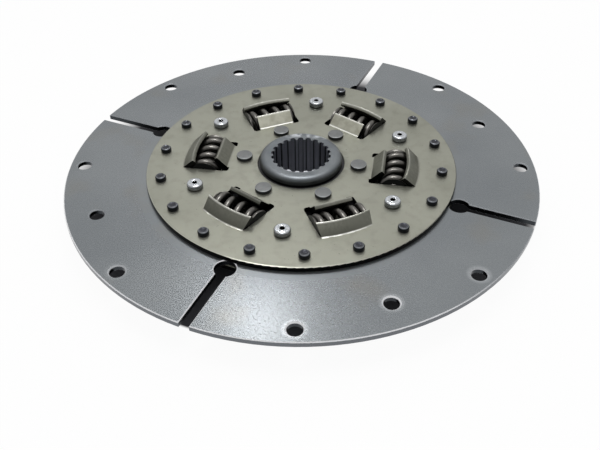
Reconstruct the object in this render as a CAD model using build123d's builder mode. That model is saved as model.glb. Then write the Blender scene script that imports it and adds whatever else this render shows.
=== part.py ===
from build123d import *
from math import asin, cos, degrees, radians, sin, sqrt, tan
import os

os.makedirs("parts", exist_ok=True)

# Clutch disc with a sprung hub. Millimetres and degrees.
# The origin is on the hub axis at the mid thickness of the outer plate, +Z towards the spline entry.

# Outer plate, bolted to the flywheel
plate_diameter = 466.7
plate_thickness = 6.0
plate_edge_chamfer = 0.8
bolt_edge_distance = 14.275
bolt_count = 8
bolt_start_angle = 22.5
inner_bolt_inset = 14.075
inner_bolt_count = 4
inner_bolt_start_angle = 45.0
bolt_hole_diameter = 14.0
bolt_hole_chamfer = 1.2
slot_count = 4
slot_width = 10.0
slot_end_diameter = 20.0
slot_end_offset = 8.75
slot_edge_chamfer = 0.8

# Cover plates, one on each side of the outer plate
cover_diameter = 307.5
cover_thickness = 4.75
cover_edge_radius = 0.8
cover_bore_chamfer = 0.6

# Rivets round the rim of the covers
rim_rivet_count = 18
rim_rivet_start_angle = 15.0
rim_rivet_inset = 14.25
rim_rivet_shank = 8.0
rim_rivet_head = 10.5
rim_rivet_head_height = 5.0
rim_rivet_head_chamfer = 1.3
rim_rivet_dish_diameter = 6.6
rim_rivet_dish_depth = 0.6
plate_land_inside_rivets = 12.5

# Stop pins, which limit the twist of the hub
stop_pin_count = 6
stop_pin_start_angle = 45.0
stop_pin_inset = 17.5
stop_pin_shank = 11.0
stop_pin_head = 15.6
stop_pin_head_height = 5.9
stop_pin_head_radius = 2.2
stop_pin_base_radius = 1.9
stop_pin_centre_hole = 4.6
stop_pin_centre_depth = 9.0

# Inner rivets, which keep the covers together beside the hub
inner_rivet_outward_shift = 1.4
inner_rivet_shank = 10.0
inner_rivet_head = 16.0
inner_rivet_head_height = 3.2
inner_rivet_head_radius = 1.4

# Coil springs
spring_count = 6
spring_start_angle = 15.0
spring_outward_shift = 10.0
spring_diameter = 30.0
spring_wire = 6.2
spring_length = 50.0
spring_active_turns = 3
spring_end_turn = 1.2
spring_end_height = 5.95
spring_closed_gap = 0.3

# Windows and bent lips of the covers
window_end_clearance = 0.3
window_corner_radius = 3.0
lip_angle = 45.0
lip_bend_radius = 2.0
lip_rise = 10.3
lip_tip_outside_radius = 0.8
lip_tip_inside_radius = 1.8
lip_root_overlap = 1.0
outer_lip_clearance = 0.5
outer_lip_side_gap = 0.6
outer_lip_flare = 1.5
outer_lip_corner_land = 2.8
inner_lip_clearance = 1.8
inner_lip_width = 37.0
inner_lip_relief = 1.0

# Hub with its flange
hub_diameter = 82.0
hub_rise = 9.35
hub_drop = 25.0
hub_top_radius = 5.5
hub_bottom_chamfer = 2.0
hub_cover_gap = 2.0
flange_rim_gap = 2.0
flange_side_gap = 0.3
flange_window_clearance = 1.5
flange_window_corner = 2.0
twist_limit = 6.0

# Internal involute spline, drawn with straight flanks
spline_teeth = 22
spline_module = 2.5
spline_major_diameter = 59.6
spline_minor_diameter = 54.6
spline_space_width = 5.6
spline_flank_angle = 18.0
spline_root_radius = 1.2
spline_entry_chamfer = 0.8

# Guide bushes, which centre the hub in the covers
bush_running_clearance = 0.08
bush_seat_clearance = 0.05
bush_rivet_gap = 2.1
bush_flange_thickness = 0.9
bush_axial_clearance = 0.1
bush_recess_margin = 0.4
bush_sleeve_inset = 1.0

# Fit of rivets and pins in the holes of the covers, and beside them in the arc slots of the flange
shank_hole_clearance = 0.05
slot_side_clearance = 0.3

# Heights and circles that follow from the sizes above
plate_face = plate_thickness / 2
cover_face = plate_face + cover_thickness
bolt_circle = plate_diameter - 2 * bolt_edge_distance
inner_bolt_circle = bolt_circle - 2 * inner_bolt_inset
slot_end_circle = cover_diameter + 2 * slot_end_offset
rim_rivet_circle = cover_diameter - 2 * rim_rivet_inset
plate_bore = rim_rivet_circle - 2 * plate_land_inside_rivets
cover_bore = hub_diameter + 2 * hub_cover_gap
flange_diameter = plate_bore - 2 * flange_rim_gap
flange_thickness = plate_thickness - 2 * flange_side_gap
hub_top = cover_face + hub_rise
hub_bottom = -cover_face - hub_drop
hub_length = hub_top - hub_bottom
window_length = spring_length + 2 * window_end_clearance
spring_radius = spring_diameter / 2

# The springs lie midway between hub and outer plate, shifted outwards, and the pins inside the plate
spring_axis_radius = (hub_diameter + plate_bore) / 4 + spring_outward_shift
stop_pin_circle = plate_bore - 2 * stop_pin_inset


def lip_reach(clearance):
    """Distance from the spring axis to the corner where a lip meets the cover's face."""
    slope = radians(lip_angle)
    outside = spring_radius + clearance + cover_thickness
    return (outside - cover_face * cos(slope)) / sin(slope)


outer_lip_width = window_length - 2 * outer_lip_side_gap
outer_lip_end = spring_axis_radius + lip_reach(outer_lip_clearance)
outer_lip_radius = sqrt(outer_lip_end**2 + (outer_lip_width / 2) ** 2)
inner_lip_radius = spring_axis_radius - lip_reach(inner_lip_clearance)
bend_setback = lip_bend_radius * tan(radians(lip_angle / 2))
outer_bend_start = outer_lip_radius + bend_setback
inner_bend_start = inner_lip_radius - bend_setback

# The inner rivets lie midway between the covers' bore and the windows, and the bushes inside them
inner_rivet_circle = cover_bore / 2 + inner_bend_start - inner_lip_relief + 2 * inner_rivet_outward_shift
bush_flange_diameter = inner_rivet_circle - inner_rivet_shank - 2 * bush_rivet_gap


def slot_sketch_arc(circle):
    """Centre line of a flange slot that lets a shank on this circle travel over the twist."""
    return CenterArc((0, 0), circle / 2, -twist_limit, 2 * twist_limit, mode=Mode.PRIVATE)


def is_arc_of(edge, radius):
    """True for a round edge of this radius."""
    return edge.geom_type == GeomType.CIRCLE and round(edge.radius - radius, 2) == 0


# Outer plate: a flat ring with bolt holes and four slots open at the rim
with BuildPart() as outer_plate:
    with BuildSketch(Plane.XY.offset(-plate_face)):
        Circle(plate_diameter / 2)
        Circle(plate_bore / 2, mode=Mode.SUBTRACT)
        with PolarLocations(rim_rivet_circle / 2, rim_rivet_count, rim_rivet_start_angle):
            Circle(rim_rivet_shank / 2 + shank_hole_clearance, mode=Mode.SUBTRACT)
        with PolarLocations(slot_end_circle / 2, slot_count):
            Circle(slot_end_diameter / 2, mode=Mode.SUBTRACT)
        with PolarLocations(slot_end_circle / 2, slot_count):
            Rectangle(plate_diameter / 2, slot_width, align=(Align.MIN, Align.CENTER), mode=Mode.SUBTRACT)
    extrude(amount=plate_thickness)
    flat_faces = outer_plate.faces().filter_by(Axis.Z)
    slot_edges = flat_faces.edges().filter_by(GeomType.LINE)
    slot_ends = flat_faces.edges().filter_by(lambda edge: is_arc_of(edge, slot_end_diameter / 2))
    chamfer(slot_edges + slot_ends, slot_edge_chamfer)
    rim_edges = outer_plate.edges().filter_by(lambda edge: is_arc_of(edge, plate_diameter / 2))
    chamfer(rim_edges, plate_edge_chamfer)
    for side in (Plane.XY.offset(plate_face), Plane.XY.offset(-plate_face).rotated((180, 0, 0))):
        countersink = bolt_hole_diameter / 2 + bolt_hole_chamfer
        with Locations(side):
            with PolarLocations(bolt_circle / 2, bolt_count, bolt_start_angle):
                CounterSinkHole(bolt_hole_diameter / 2, countersink, plate_thickness, 90)
            with PolarLocations(inner_bolt_circle / 2, inner_bolt_count, inner_bolt_start_angle):
                CounterSinkHole(bolt_hole_diameter / 2, countersink, plate_thickness, 90)
outer_plate.part.label = "outer_plate"
export_step(outer_plate.part, "parts/outer_plate.step")

# Window of a cover, lying on the X axis, with a strip left standing as root of the inner lip
with BuildSketch() as cover_window:
    with Locations((inner_bend_start - inner_lip_relief, 0)):
        RectangleRounded(
            2 * outer_bend_start,
            window_length,
            window_corner_radius,
            align=(Align.MIN, Align.CENTER),
        )
    Circle(outer_lip_radius - outer_lip_corner_land, mode=Mode.INTERSECT)
    with Locations((inner_bend_start, 0)):
        Rectangle(
            2 * inner_lip_relief,
            inner_lip_width,
            align=(Align.MAX, Align.CENTER),
            mode=Mode.SUBTRACT,
        )


def lip_profile(bend_start, inward):
    """Section of a bent lip in the XZ plane. It leans over the spring, on the side that inward gives."""
    slope = radians(lip_angle)
    outside = lip_bend_radius + cover_thickness
    centre = (bend_start, cover_face + lip_bend_radius)
    run = (lip_rise - lip_bend_radius * (1 - cos(slope))) / sin(slope)
    top_bend = (bend_start + inward * lip_bend_radius * sin(slope), centre[1] - lip_bend_radius * cos(slope))
    low_bend = (bend_start + inward * outside * sin(slope), centre[1] - outside * cos(slope))
    step = (inward * run * cos(slope), run * sin(slope))
    top_tip = (top_bend[0] + step[0], top_bend[1] + step[1])
    low_tip = (low_bend[0] + step[0], low_bend[1] + step[1])
    root = bend_start - inward * lip_root_overlap
    half_bend = slope / 2
    top_middle = (
        bend_start + inward * lip_bend_radius * sin(half_bend),
        centre[1] - lip_bend_radius * cos(half_bend),
    )
    low_middle = (
        bend_start + inward * outside * sin(half_bend),
        centre[1] - outside * cos(half_bend),
    )
    with BuildSketch(Plane.XZ) as profile:
        with BuildLine():
            Line((root, cover_face), (bend_start, cover_face))
            ThreePointArc((bend_start, cover_face), top_middle, top_bend)
            Line(top_bend, top_tip)
            Line(top_tip, low_tip)
            Line(low_tip, low_bend)
            ThreePointArc(low_bend, low_middle, (bend_start, plate_face))
            Line((bend_start, plate_face), (root, plate_face))
            Line((root, plate_face), (root, cover_face))
        make_face()
        fillet(profile.vertices().sort_by_distance(top_tip)[0], lip_tip_outside_radius)
        fillet(profile.vertices().sort_by_distance(low_tip)[0], lip_tip_inside_radius)
    return profile.sketch


# Outer lip: bent up on an arc about the disc's axis, which stretches it wider towards its tip
with BuildPart() as outer_lip:
    add(lip_profile(outer_bend_start, -1))
    revolve(axis=Axis.Z, revolution_arc=degrees(asin(outer_lip_width / outer_bend_start)))
    mirror(about=Plane.XZ)
    with BuildSketch(Plane.YZ):
        with BuildLine():
            base = outer_lip_width / 2
            Polyline(
                (-base, 0),
                (base, 0),
                (base, cover_face),
                (base + outer_lip_flare, cover_face + lip_rise),
                (-base - outer_lip_flare, cover_face + lip_rise),
                (-base, cover_face),
                close=True,
            )
        make_face()
    extrude(amount=cover_diameter, mode=Mode.INTERSECT)

# Inner lip: bent up on a straight line, narrower than the window
with BuildPart() as inner_lip:
    add(lip_profile(inner_bend_start, 1))
    extrude(amount=inner_lip_width / 2, dir=(0, 1, 0), both=True)

# Upper cover: a round stamped plate with a window and two lips for each spring
with BuildPart() as upper_cover:
    with BuildSketch(Plane.XY.offset(plate_face)):
        Circle(cover_diameter / 2)
        Circle(cover_bore / 2, mode=Mode.SUBTRACT)
        with PolarLocations(rim_rivet_circle / 2, rim_rivet_count, rim_rivet_start_angle):
            Circle(rim_rivet_shank / 2 + shank_hole_clearance, mode=Mode.SUBTRACT)
        with PolarLocations(stop_pin_circle / 2, stop_pin_count, stop_pin_start_angle):
            Circle(stop_pin_shank / 2 + shank_hole_clearance, mode=Mode.SUBTRACT)
        with PolarLocations(inner_rivet_circle / 2, spring_count, spring_start_angle):
            Circle(inner_rivet_shank / 2 + shank_hole_clearance, mode=Mode.SUBTRACT)
        with PolarLocations(0, spring_count, spring_start_angle):
            add(cover_window.sketch, mode=Mode.SUBTRACT)
    extrude(amount=cover_thickness)
    top_edges = upper_cover.edges().group_by(Axis.Z)[-1]
    fillet(top_edges.filter_by(lambda edge: is_arc_of(edge, cover_diameter / 2)), cover_edge_radius)
    chamfer(top_edges.filter_by(lambda edge: is_arc_of(edge, cover_bore / 2)), cover_bore_chamfer)
    with PolarLocations(0, spring_count, spring_start_angle):
        add(outer_lip.part)
        add(inner_lip.part)
upper_cover.part.label = "upper_cover"
export_step(upper_cover.part, "parts/upper_cover.step")

# Lower cover: the same stamping, turned over
with BuildPart() as lower_cover:
    mirror(upper_cover.part, about=Plane.XY)
lower_cover.part.label = "lower_cover"
export_step(lower_cover.part, "parts/lower_cover.step")

# Tooth space of the spline, lying on the X axis, wide at the bore, with a rounded root
with BuildSketch() as spline_space:
    minor = spline_minor_diameter / 2
    major = spline_major_diameter / 2
    overlap = spline_module / 2
    slant = tan(radians(spline_flank_angle))
    mouth = spline_space_width / 2 + overlap * slant
    root = spline_space_width / 2 - (major - minor) * slant
    with BuildLine():
        Polyline(
            (minor - overlap, -mouth),
            (major, -root),
            (major, root),
            (minor - overlap, mouth),
            close=True,
        )
    make_face()
    fillet(spline_space.vertices().sort_by(Axis.X)[-2:], spline_root_radius)

# Hub: a splined barrel with a thin flange that the springs push on
with BuildPart() as hub:
    with BuildSketch(Plane.XY.offset(hub_bottom)):
        Circle(hub_diameter / 2)
    extrude(amount=hub_length)
    fillet(hub.edges().sort_by(Axis.Z)[-1], hub_top_radius)
    chamfer(hub.edges().sort_by(Axis.Z)[0], hub_bottom_chamfer)
    with BuildSketch(Plane.XY.offset(-flange_thickness / 2)):
        Circle(flange_diameter / 2)
        with PolarLocations(spring_axis_radius, spring_count, spring_start_angle):
            RectangleRounded(
                spring_diameter + 2 * flange_window_clearance,
                window_length,
                flange_window_corner,
                mode=Mode.SUBTRACT,
            )
        with PolarLocations(0, stop_pin_count, stop_pin_start_angle):
            SlotArc(
                slot_sketch_arc(stop_pin_circle),
                stop_pin_shank + 2 * slot_side_clearance,
                mode=Mode.SUBTRACT,
            )
        with PolarLocations(0, spring_count, spring_start_angle):
            SlotArc(
                slot_sketch_arc(inner_rivet_circle),
                inner_rivet_shank + 2 * slot_side_clearance,
                mode=Mode.SUBTRACT,
            )
    extrude(amount=flange_thickness)
    recess_floor = plate_face - bush_flange_thickness - bush_axial_clearance
    with BuildSketch(Plane.XY.offset(recess_floor), Plane.XY.offset(-plate_face)):
        Circle(bush_flange_diameter / 2 + bush_recess_margin)
        Circle(hub_diameter / 2, mode=Mode.SUBTRACT)
    extrude(amount=plate_face - recess_floor, mode=Mode.SUBTRACT)
    with BuildSketch(Plane.XY.offset(hub_bottom)):
        Circle(spline_minor_diameter / 2)
        with PolarLocations(0, spline_teeth):
            add(spline_space.sketch)
    extrude(amount=hub_length, mode=Mode.SUBTRACT)
    entry_radius = spline_minor_diameter / 2 + spline_entry_chamfer
    with BuildSketch(Plane.XZ):
        with BuildLine():
            Polyline(
                (0, hub_top),
                (entry_radius, hub_top),
                (0, hub_top - entry_radius),
                close=True,
            )
        make_face()
        with BuildLine():
            Polyline(
                (0, hub_bottom),
                (entry_radius, hub_bottom),
                (0, hub_bottom + entry_radius),
                close=True,
            )
        make_face()
    revolve(axis=Axis.Z, mode=Mode.SUBTRACT)
hub.part.label = "hub"
export_step(hub.part, "parts/hub.step")

# Guide bushes: a thin collar between hub and cover, with a sleeve in the gap round the hub
bush_bore = hub_diameter / 2 + bush_running_clearance
bush_outside = cover_bore / 2 - bush_seat_clearance
with BuildPart() as upper_guide_bush:
    with BuildSketch(Plane.XZ):
        with BuildLine():
            Polyline(
                (bush_bore, plate_face - bush_flange_thickness),
                (bush_flange_diameter / 2, plate_face - bush_flange_thickness),
                (bush_flange_diameter / 2, plate_face),
                (bush_outside, plate_face),
                (bush_outside, cover_face - bush_sleeve_inset),
                (bush_bore, cover_face - bush_sleeve_inset),
                close=True,
            )
        make_face()
    revolve(axis=Axis.Z)
upper_guide_bush.part.label = "upper_guide_bush"
export_step(upper_guide_bush.part, "parts/upper_guide_bush.step")

with BuildPart() as lower_guide_bush:
    mirror(upper_guide_bush.part, about=Plane.XY)
lower_guide_bush.part.label = "lower_guide_bush"
export_step(lower_guide_bush.part, "parts/lower_guide_bush.step")

# One rim rivet: a shank through the stack with a formed head on both sides
with BuildPart() as rim_rivet:
    with BuildSketch(Plane.XY.offset(-cover_face)):
        Circle(rim_rivet_shank / 2)
    extrude(amount=2 * cover_face)
    with BuildSketch(Plane.XY.offset(cover_face), Plane.XY.offset(-cover_face - rim_rivet_head_height)):
        Circle(rim_rivet_head / 2)
    extrude(amount=rim_rivet_head_height)
    chamfer(rim_rivet.edges().group_by(Axis.Z)[-1], rim_rivet_head_chamfer)
    chamfer(rim_rivet.edges().group_by(Axis.Z)[0], rim_rivet_head_chamfer)
    head_top = cover_face + rim_rivet_head_height
    dish_radius = (rim_rivet_dish_diameter**2 / 4 + rim_rivet_dish_depth**2) / (2 * rim_rivet_dish_depth)
    dish_centre = head_top - rim_rivet_dish_depth + dish_radius
    with Locations((0, 0, dish_centre), (0, 0, -dish_centre)):
        Sphere(dish_radius, mode=Mode.SUBTRACT)

with BuildPart() as rim_rivets:
    with PolarLocations(rim_rivet_circle / 2, rim_rivet_count, rim_rivet_start_angle):
        add(rim_rivet.part)
rim_rivets.part.label = "rim_rivets"
export_step(rim_rivets.part, "parts/rim_rivets.step")

# One inner rivet, with a broad round-edged head on both sides
with BuildPart() as inner_rivet:
    with BuildSketch(Plane.XY.offset(-cover_face)):
        Circle(inner_rivet_shank / 2)
    extrude(amount=2 * cover_face)
    with BuildSketch(Plane.XY.offset(cover_face), Plane.XY.offset(-cover_face - inner_rivet_head_height)):
        Circle(inner_rivet_head / 2)
    extrude(amount=inner_rivet_head_height)
    fillet(inner_rivet.edges().group_by(Axis.Z)[-1], inner_rivet_head_radius)
    fillet(inner_rivet.edges().group_by(Axis.Z)[0], inner_rivet_head_radius)

with BuildPart() as inner_rivets:
    with PolarLocations(inner_rivet_circle / 2, spring_count, spring_start_angle):
        add(inner_rivet.part)
inner_rivets.part.label = "inner_rivets"
export_step(inner_rivets.part, "parts/inner_rivets.step")

# One stop pin: a thick shank between two tall heads, drilled at both ends
with BuildPart() as stop_pin:
    pin_top = cover_face + stop_pin_head_height
    with BuildSketch(Plane.XY.offset(-cover_face)):
        Circle(stop_pin_shank / 2)
    extrude(amount=2 * cover_face)
    with BuildSketch(Plane.XY.offset(cover_face), Plane.XY.offset(-pin_top)):
        Circle(stop_pin_head / 2)
    extrude(amount=stop_pin_head_height)
    head_edges = stop_pin.edges().filter_by(lambda edge: is_arc_of(edge, stop_pin_head / 2)).group_by(Axis.Z)
    fillet(head_edges[0] + head_edges[-1], stop_pin_head_radius)
    fillet(head_edges[1] + head_edges[-2], stop_pin_base_radius)
    with BuildSketch(Plane.XY.offset(pin_top), Plane.XY.offset(-pin_top)):
        Circle(stop_pin_centre_hole / 2)
    extrude(amount=stop_pin_centre_depth, both=True, mode=Mode.SUBTRACT)

for index, place in enumerate(PolarLocations(stop_pin_circle / 2, stop_pin_count, stop_pin_start_angle)):
    with BuildPart() as placed_pin:
        with Locations(place):
            add(stop_pin.part)
    placed_pin.part.label = f"stop_pin_{index + 1}"
    export_step(placed_pin.part, f"parts/stop_pin_{index + 1}.step")

# One spring, wound about its own Z axis: open middle turns and two closed end turns, ground flat
coil_radius = (spring_diameter - spring_wire) / 2
end_pitch = spring_wire + spring_closed_gap
active_length = spring_length - 2 * spring_end_height


def wire_section(height):
    """Plane across the wire where a turn starts, at this height on the spring's axis."""
    return Plane((coil_radius, 0, height), x_dir=(1, 0, 0), z_dir=(0, 1, 0))


with BuildPart() as spring_end:
    with BuildLine():
        Helix(end_pitch, end_pitch * spring_end_turn, coil_radius, center=(0, 0, active_length / 2))
    with BuildSketch(wire_section(active_length / 2)):
        Circle(spring_wire / 2)
    sweep(is_frenet=True)

with BuildPart() as spring:
    with BuildLine():
        Helix(
            active_length / spring_active_turns,
            active_length,
            coil_radius,
            center=(0, 0, -active_length / 2),
        )
    with BuildSketch(wire_section(-active_length / 2)):
        Circle(spring_wire / 2)
    sweep(is_frenet=True)
    add(spring_end.part)
    add(spring_end.part, rotation=(180, 0, 0))
    with BuildSketch(Plane.XY.offset(-spring_length / 2)):
        Circle(spring_diameter)
    extrude(amount=spring_length, mode=Mode.INTERSECT)

for index, place in enumerate(PolarLocations(spring_axis_radius, spring_count, spring_start_angle)):
    across = place * Plane.XZ.location
    lying = Plane(origin=place.position, x_dir=(0, 0, 1), z_dir=across.z_axis.direction)
    with BuildPart() as placed_spring:
        with Locations(lying.location):
            add(spring.part)
    placed_spring.part.label = f"spring_{index + 1}"
    export_step(placed_spring.part, f"parts/spring_{index + 1}.step")
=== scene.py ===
from math import cos, pi, radians, sin, tau
import bpy
from mathutils import Matrix, Vector


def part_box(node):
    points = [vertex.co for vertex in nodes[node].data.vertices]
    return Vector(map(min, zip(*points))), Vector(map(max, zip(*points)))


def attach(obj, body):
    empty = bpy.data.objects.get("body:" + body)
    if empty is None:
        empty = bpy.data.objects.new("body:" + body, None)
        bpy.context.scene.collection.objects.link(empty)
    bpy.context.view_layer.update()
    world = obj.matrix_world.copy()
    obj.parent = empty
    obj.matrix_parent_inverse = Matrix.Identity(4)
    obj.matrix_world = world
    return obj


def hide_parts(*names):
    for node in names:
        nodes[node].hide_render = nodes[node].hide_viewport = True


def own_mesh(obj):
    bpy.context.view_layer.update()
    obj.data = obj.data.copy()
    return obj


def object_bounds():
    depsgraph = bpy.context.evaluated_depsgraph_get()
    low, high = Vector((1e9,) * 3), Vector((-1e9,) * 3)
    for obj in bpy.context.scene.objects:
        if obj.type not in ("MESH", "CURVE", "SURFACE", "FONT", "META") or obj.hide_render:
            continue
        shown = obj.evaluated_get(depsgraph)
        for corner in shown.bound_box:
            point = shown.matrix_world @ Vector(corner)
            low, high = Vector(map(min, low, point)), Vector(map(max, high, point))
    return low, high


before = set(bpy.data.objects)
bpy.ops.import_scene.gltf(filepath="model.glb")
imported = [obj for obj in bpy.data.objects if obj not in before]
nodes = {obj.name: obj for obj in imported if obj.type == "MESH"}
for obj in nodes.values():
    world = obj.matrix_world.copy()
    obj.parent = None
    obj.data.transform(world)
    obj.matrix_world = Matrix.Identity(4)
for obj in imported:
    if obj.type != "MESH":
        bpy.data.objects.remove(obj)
cad_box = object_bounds()

# The disc lies on the end of its hub, seen from in front and above with one pair of bolt holes near.
# The eye stands where the bolt holes, rivets and rim fall as they do in the photograph, and looks
# almost straight at the hub. Its picture is 600 wide and 450 high.
eye_place = Vector((0.2612, -0.5807, 0.4650))
eye_direction = Vector((-0.315057, 0.694604, -0.646729))
eye_roll = radians(-0.83)
eye_focal_pixels = 780.08
picture_width = 600
eye = bpy.data.cameras.new("eye")
eye.sensor_width = 36.0
eye.lens = eye_focal_pixels * eye.sensor_width / picture_width
eye_holder = bpy.data.objects.new("eye", eye)
eye_turn = eye_direction.to_track_quat("-Z", "Y").to_matrix().to_4x4() @ Matrix.Rotation(eye_roll, 4, "Z")
eye_holder.matrix_world = Matrix.Translation(eye_place) @ eye_turn
bpy.context.scene.collection.objects.link(eye_holder)
bpy.context.scene.camera = eye_holder
bpy.context.scene.view_settings.view_transform = "Standard"


# The table is a plain white sheet that runs on to all sides. It carries the hub's end. Under the disc its
# colour is painted dark grey as a painted shadow, which falls a little to the back; beyond the rim it is
# close to pure white.
class Finish:
    """A finish made of patterns in the piece's own coordinates, which are in metres."""

    def __init__(self, name, metallic=1.0, roughness=0.4, specular=0.5):
        self.material = bpy.data.materials.new(name)
        self.material.use_nodes = True
        self.tree = self.material.node_tree
        self.shader = self.tree.nodes["Principled BSDF"]
        self.shader.inputs["Metallic"].default_value = metallic
        self.shader.inputs["Roughness"].default_value = roughness
        self.shader.inputs["Specular IOR Level"].default_value = specular
        self.place = self.add("ShaderNodeTexCoord").outputs["Object"]

    def add(self, kind, **settings):
        """Adds a node of the material, with its settings."""
        node = self.tree.nodes.new(kind)
        for name, value in settings.items():
            setattr(node, name, value)
        return node

    def feed(self, socket, value):
        """Links a pattern to a socket, or sets a plain value there."""
        if isinstance(value, bpy.types.NodeSocket):
            self.tree.links.new(value, socket)
        else:
            socket.default_value = value

    def cloud(self, size, detail=3.0, stretch=(1, 1, 1), turn=0.0, seed=0.0):
        """Uneven patches of about this size, from 0 to 1 round a mean of a half."""
        mapping = self.add("ShaderNodeMapping")
        self.feed(mapping.inputs["Vector"], self.place)
        mapping.inputs["Rotation"].default_value = (0, 0, turn)
        mapping.inputs["Scale"].default_value = [1 / (size * share) for share in stretch]
        noise = self.add("ShaderNodeTexNoise", noise_dimensions="4D")
        self.feed(noise.inputs["Vector"], mapping.outputs["Vector"])
        noise.inputs["W"].default_value = seed
        noise.inputs["Scale"].default_value = 1.0
        noise.inputs["Detail"].default_value = detail
        return noise.outputs["Fac"]

    def between(self, value, low, high, start=0.0, end=1.0):
        """The value's place between low and high, held to the range from start to end."""
        node = self.add("ShaderNodeMapRange")
        self.feed(node.inputs["Value"], value)
        node.inputs["From Min"].default_value = low
        node.inputs["From Max"].default_value = high
        node.inputs["To Min"].default_value = start
        node.inputs["To Max"].default_value = end
        return node.outputs["Result"]

    def sum(self, operation, first, second=0.0):
        """A sum of two patterns, such as ADD or MINIMUM."""
        node = self.add("ShaderNodeMath", operation=operation)
        self.feed(node.inputs[0], first)
        self.feed(node.inputs[1], second)
        return node.outputs["Value"]

    def both(self, first, second):
        """Strong where both patterns are."""
        return self.sum("MULTIPLY", first, second)

    def either(self, first, second):
        """As strong as the stronger of two patterns."""
        return self.sum("MAXIMUM", first, second)

    def blend(self, factor, under, over):
        """One colour over another."""
        node = self.add("ShaderNodeMix", data_type="RGBA")
        self.feed(node.inputs["Factor"], factor)
        for socket, colour in ((node.inputs[6], under), (node.inputs[7], over)):
            self.feed(socket, colour if isinstance(colour, bpy.types.NodeSocket) else (*colour, 1))
        return node.outputs[2]

    def rough(self, height, depth):
        """Raises the surface by the height pattern, up to this depth in metres."""
        node = self.add("ShaderNodeBump")
        self.feed(node.inputs["Height"], height)
        node.inputs["Distance"].default_value = depth
        self.feed(self.shader.inputs["Normal"], node.outputs["Normal"])

    def facing_up(self):
        """How level the true surface is: 1 on a flat face, 0 on an upright wall."""
        parts = self.add("ShaderNodeSeparateXYZ")
        self.feed(parts.inputs[0], self.add("ShaderNodeNewGeometry").outputs["True Normal"])
        return self.sum("ABSOLUTE", parts.outputs["Z"])

    def height(self):
        """Height above or below the middle of the outer plate."""
        parts = self.add("ShaderNodeSeparateXYZ")
        self.feed(parts.inputs[0], self.place)
        return self.sum("ABSOLUTE", parts.outputs["Z"])

    def radius(self, centre=(0, 0, 0)):
        """Distance from the disc's axis, or from an upright line through another centre."""
        beside = self.add("ShaderNodeVectorMath", operation="SUBTRACT")
        self.feed(beside.inputs[0], self.place)
        beside.inputs[1].default_value = centre
        flat = self.add("ShaderNodeVectorMath", operation="MULTIPLY")
        self.feed(flat.inputs[0], beside.outputs[0])
        flat.inputs[1].default_value = (1, 1, 0)
        length = self.add("ShaderNodeVectorMath", operation="LENGTH")
        self.feed(length.inputs[0], flat.outputs[0])
        return length.outputs["Value"]

    def by_radius(self, low, high, start=0.0, end=1.0):
        """The distance from the axis, as its place between two radii."""
        return self.between(self.radius(), low, high, start, end)

    def along(self, x, y):
        """Distance from the axis along a level direction."""
        node = self.add("ShaderNodeVectorMath", operation="DOT_PRODUCT")
        self.feed(node.inputs[0], self.place)
        node.inputs[1].default_value = (x, y, 0.0)
        return node.outputs["Value"]

    def colour(self, value):
        self.feed(self.shader.inputs["Base Color"], value)

    def gloss(self, value):
        self.feed(self.shader.inputs["Roughness"], value)


table_reach = 30.0
table_height = cad_box[0][2]
table_white, table_painted_shadow = (1.0, 1.0, 1.0), (0.13, 0.13, 0.14)
table_white_share = 0.95
shade_edge = (0.226, 0.264)
shade_front_centre = (-0.0184, 0.0409, 0)
shade_front_edge = (0.2480, 0.2505)
table_mesh = bpy.data.meshes.new("table_sheet")
table_corners = [(-1, -1), (1, -1), (1, 1), (-1, 1)]
table_points = [(x * table_reach, y * table_reach, table_height) for x, y in table_corners]
table_mesh.from_pydata(table_points, [], [(0, 1, 2, 3)])
table_sheet = bpy.data.objects.new("table_sheet", table_mesh)
bpy.context.scene.collection.objects.link(table_sheet)
table_paper = Finish("table_paper", metallic=0.0, roughness=1.0, specular=0.0)
# Painted shadow: the table's colour is dark grey inside these two circles under the disc.
table_front = table_paper.between(table_paper.radius(shade_front_centre), *shade_front_edge)
table_clear = table_paper.either(table_paper.by_radius(*shade_edge), table_front)
table_paper.colour(table_paper.blend(table_clear, table_painted_shadow, table_white))
ray = table_paper.add("ShaderNodeLightPath").outputs
ray_seen = table_paper.either(ray["Is Camera Ray"], ray["Is Glossy Ray"])
ray_seen = table_paper.either(ray_seen, ray["Is Transmission Ray"])
table_glow = table_paper.add("ShaderNodeEmission")
table_look = table_paper.add("ShaderNodeMixShader")
table_open = table_paper.both(table_clear, table_white_share)
table_paper.feed(table_look.inputs[0], table_paper.both(table_open, ray_seen))
table_paper.feed(table_look.inputs[1], table_paper.shader.outputs["BSDF"])
table_paper.feed(table_look.inputs[2], table_glow.outputs["Emission"])
table_paper.feed(table_paper.tree.nodes["Material Output"].inputs["Surface"], table_look.outputs["Shader"])
table_mesh.materials.append(table_paper.material)


# Studio light: a soft panel overhead, a small one for glints, one behind the disc whose reflection
# lies on the near part of the plate, and a room lit all round, brightest above and behind the disc.
def soft_panel(name, place, target, width, depth, power, lights_table=True):
    """A soft rectangular light at a place in metres, turned towards a target."""
    light = bpy.data.lights.new(name, "AREA")
    light.shape = "RECTANGLE"
    light.size = width
    light.size_y = depth
    light.energy = power
    holder = bpy.data.objects.new(name, light)
    direction = Vector(target) - Vector(place)
    holder.matrix_world = Matrix.Translation(place) @ direction.to_track_quat("-Z", "Y").to_matrix().to_4x4()
    holder.visible_diffuse = lights_table
    bpy.context.scene.collection.objects.link(holder)


disc_middle, near_part = (0, 0, 0), (0.0535, -0.2085, 0.003)
soft_panel("overhead_panel", (0.05, -0.1, 1.7), disc_middle, width=1.0, depth=0.8, power=9)
soft_panel("glint_panel", (-0.1, 0.0, 1.3), disc_middle, width=0.30, depth=0.12, power=3, lights_table=False)
soft_panel("glare_panel", (-0.665, 1.079, 1.602), near_part, width=0.16, depth=0.13, power=1.18)

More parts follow.
